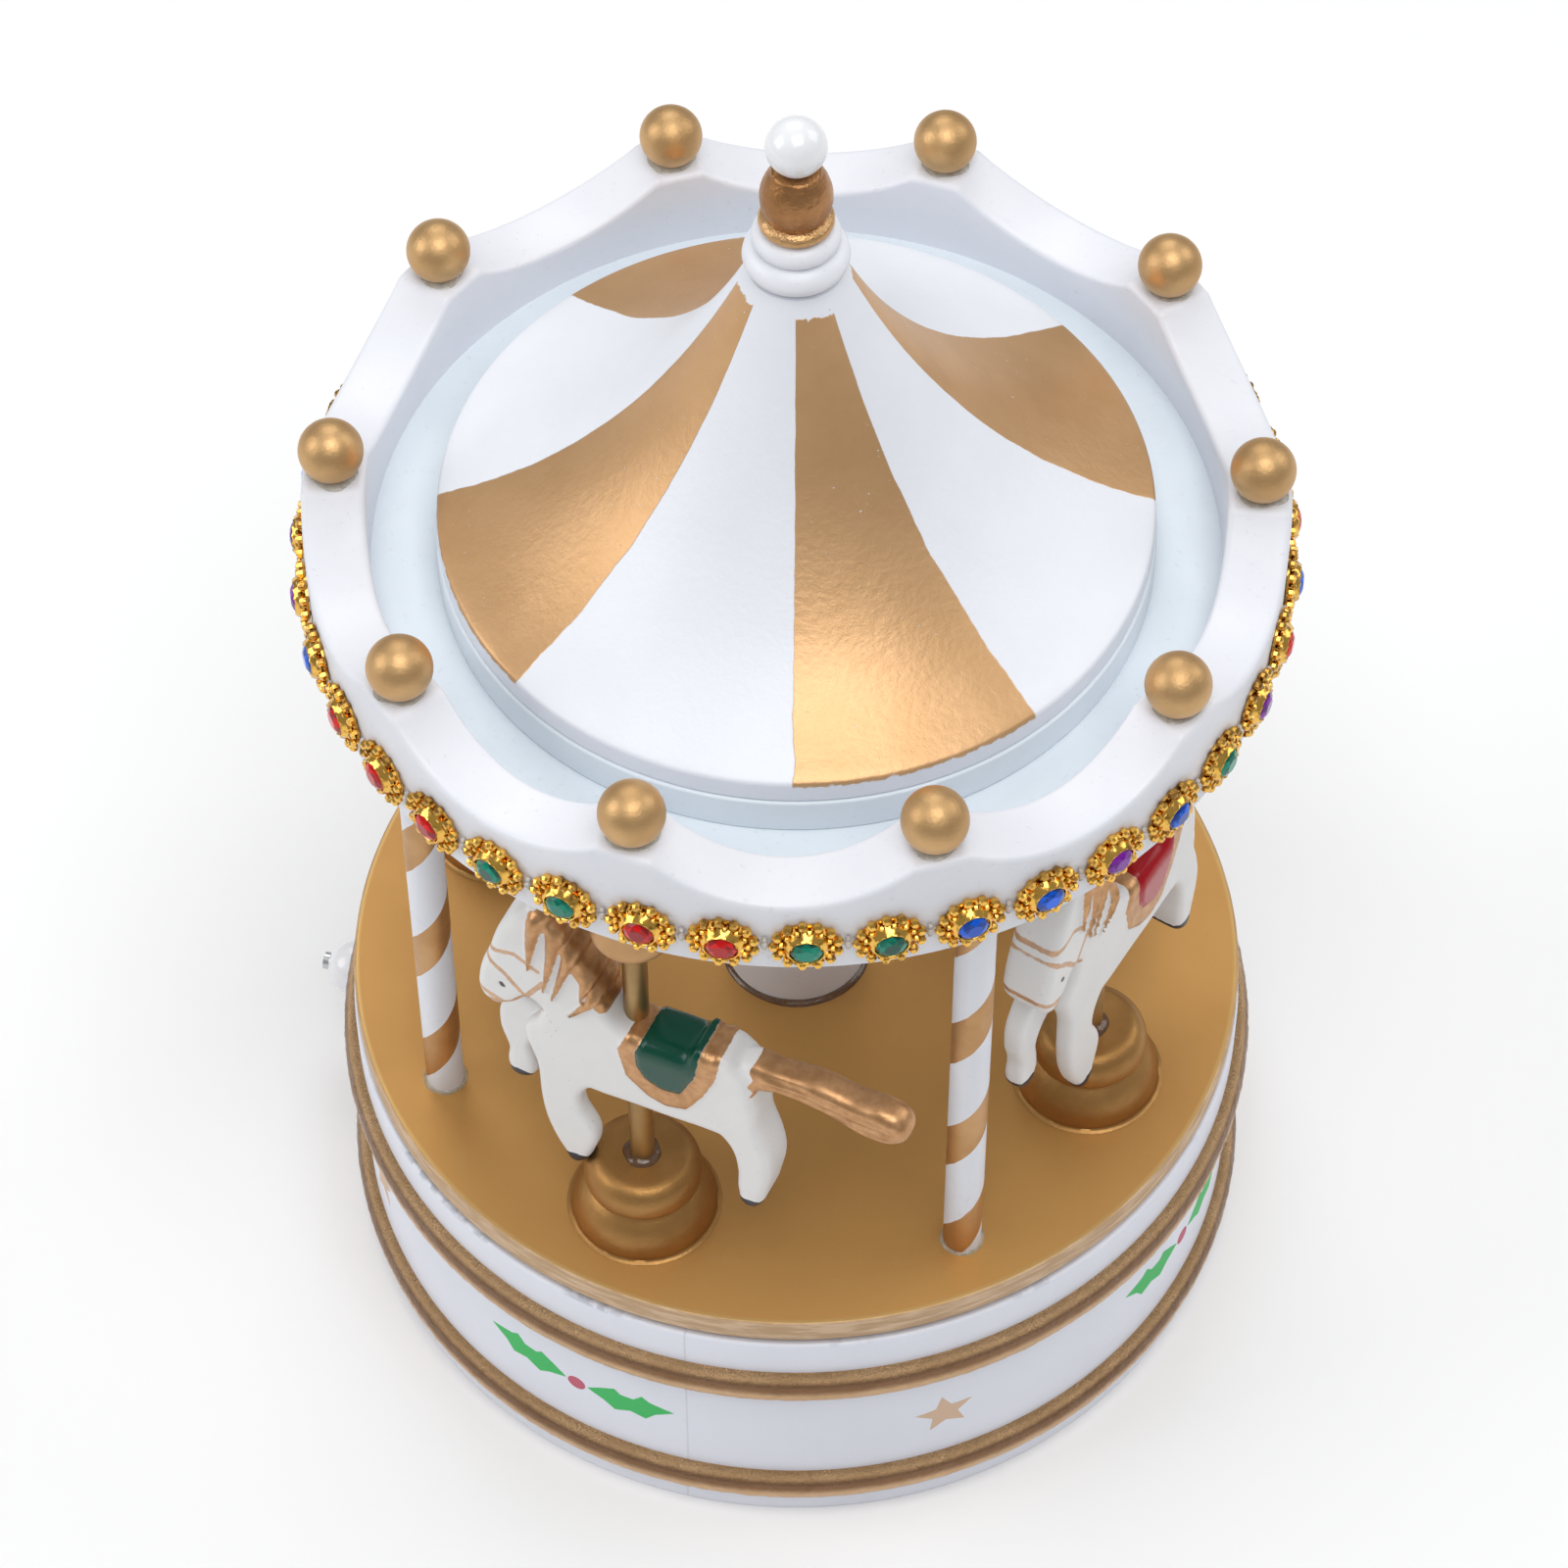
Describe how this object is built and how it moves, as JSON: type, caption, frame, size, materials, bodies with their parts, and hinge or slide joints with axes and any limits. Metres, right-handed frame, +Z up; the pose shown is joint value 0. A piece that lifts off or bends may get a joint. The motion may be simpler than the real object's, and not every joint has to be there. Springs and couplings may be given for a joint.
{
  "type": "carousel music box",
  "caption": "Wind-up carousel music box: a turning platform with horses on poles under a striped tent roof, on a round drum that holds the comb movement.",
  "frame": {"origin": "on the spin axis, in the plane of the drum's foot", "axes": "+Z up along the spin axis; -Y towards the front; +X to the right"},
  "size_m": [0.1298, 0.1248, 0.2052],
  "materials": {
    "white_paint": "satin white paint over turned wood",
    "grey_primer": "thin bluish grey undercoat",
    "gold_paint": "satin metallic gold paint",
    "deck_gold": "satin antique gold paint",
    "pole_brass": "brushed, slightly tarnished",
    "horse_resin": "hand-painted cast resin",
    "gloss_white": "gloss white lacquer",
    "trim_gold": "bright gold plating",
    "gem_red": "faceted, foil backed",
    "gem_green": "faceted, foil backed",
    "gem_blue": "faceted, foil backed",
    "gem_purple": "faceted, foil backed",
    "saddle_green": "gloss paint",
    "saddle_red": "gloss paint",
    "hoof_black": "satin paint",
    "mane_gold": "metallic copper-gold paint",
    "glue": "clear set glue",
    "leaf_green": "matt stencil paint",
    "berry_red": "matt stencil paint",
    "star_tan": "matt gold stencil paint",
    "bare_wood": "unfinished board",
    "steel": "nickel plated",
    "spring_steel": "ground and blued",
    "zinc_plate": "die-cast zinc",
    "brass": "machined"
  },
  "bodies": {
    "base": {"drum_wall": "white_paint", "upper_bead": "gold_paint", "lower_bead": "gold_paint", "top_board": "grey_primer", "spindle_bush": "brass", "bottom_board": "bare_wood", "bottom_screws": "steel", "movement_plate": "zinc_plate", "movement_screws": "steel", "comb": "spring_steel", "comb_screws": "steel", "governor_bracket": "brass"},
    "carousel": {"spring_barrel": "brass", "mainspring": "spring_steel", "barrel_spindle": "brass", "platform_hub": "brass", "platform": "deck_gold", "centre_column": "white_paint", "pillar_1": "white_paint", "pillar_2": "white_paint", "pillar_3": "white_paint", "pillar_4": "white_paint", "pedestal_1": "gold_paint", "pedestal_2": "gold_paint", "pedestal_3": "gold_paint", "pedestal_4": "gold_paint", "pole_1": "pole_brass", "pole_2": "pole_brass", "pole_3": "pole_brass", "pole_4": "pole_brass", "pole_cup_1": "gold_paint", "pole_cup_2": "gold_paint", "pole_cup_3": "gold_paint", "pole_cup_4": "gold_paint", "horse_1": "horse_resin", "horse_2": "horse_resin", "horse_3": "horse_resin", "horse_4": "horse_resin", "canopy_board": "white_paint", "crown_ring": "white_paint", "crown_balls": "gold_paint", "trim_band": "trim_gold", "trim_gems": "gem_red", "roof_disc": "white_paint", "roof_cone": "white_paint", "finial": "white_paint", "finial_bulb": "gold_paint", "finial_ball": "gloss_white"},
    "pinned_drum": {"music_cylinder": "brass", "cylinder_arbor": "steel", "cylinder_wheel": "brass"},
    "second_gear": {"second_arbor": "steel", "worm_wheel": "brass"},
    "governor": {"governor_worm": "steel", "governor_fan": "brass"},
    "key": {"winding_arbor": "steel", "winding_key": "steel"},
    "knob": {"stop_rod": "steel", "stop_knob": "gloss_white"}
  },
  "joints": [
    {"name": "carousel_spin", "type": "hinge", "parent": "base", "child": "carousel", "pos_m": [0, 0, 0], "axis": [0, 0, 1], "continuous": true},
    {"name": "drum_spin", "type": "hinge", "parent": "base", "child": "pinned_drum", "pos_m": [0, 0, 0.0219], "axis": [-0.8469, 0.5318, 0], "continuous": true},
    {"name": "second_spin", "type": "hinge", "parent": "base", "child": "second_gear", "pos_m": [-0.00399, -0.00635, 0.0219], "axis": [-0.8469, 0.5318, 0], "continuous": true},
    {"name": "governor_spin", "type": "hinge", "parent": "base", "child": "governor", "pos_m": [-0.04349, 0.01198, 0], "axis": [0, 0, 1], "continuous": true},
    {"name": "key_wind", "type": "hinge", "parent": "base", "child": "key", "pos_m": [0, 0, 0], "axis": [0, 0, 1], "range_deg": [0, 1170]},
    {"name": "stop_slide", "type": "slide", "parent": "base", "child": "knob", "axis": [-0.9641, 0.2656, 0], "range_m": [0, 0.004]}
  ],
  "couplings": [
    {"joint": "drum_spin", "follows": "carousel_spin", "ratio": 4},
    {"joint": "second_spin", "follows": "carousel_spin", "ratio": -16},
    {"joint": "governor_spin", "follows": "carousel_spin", "ratio": 384}
  ]
}
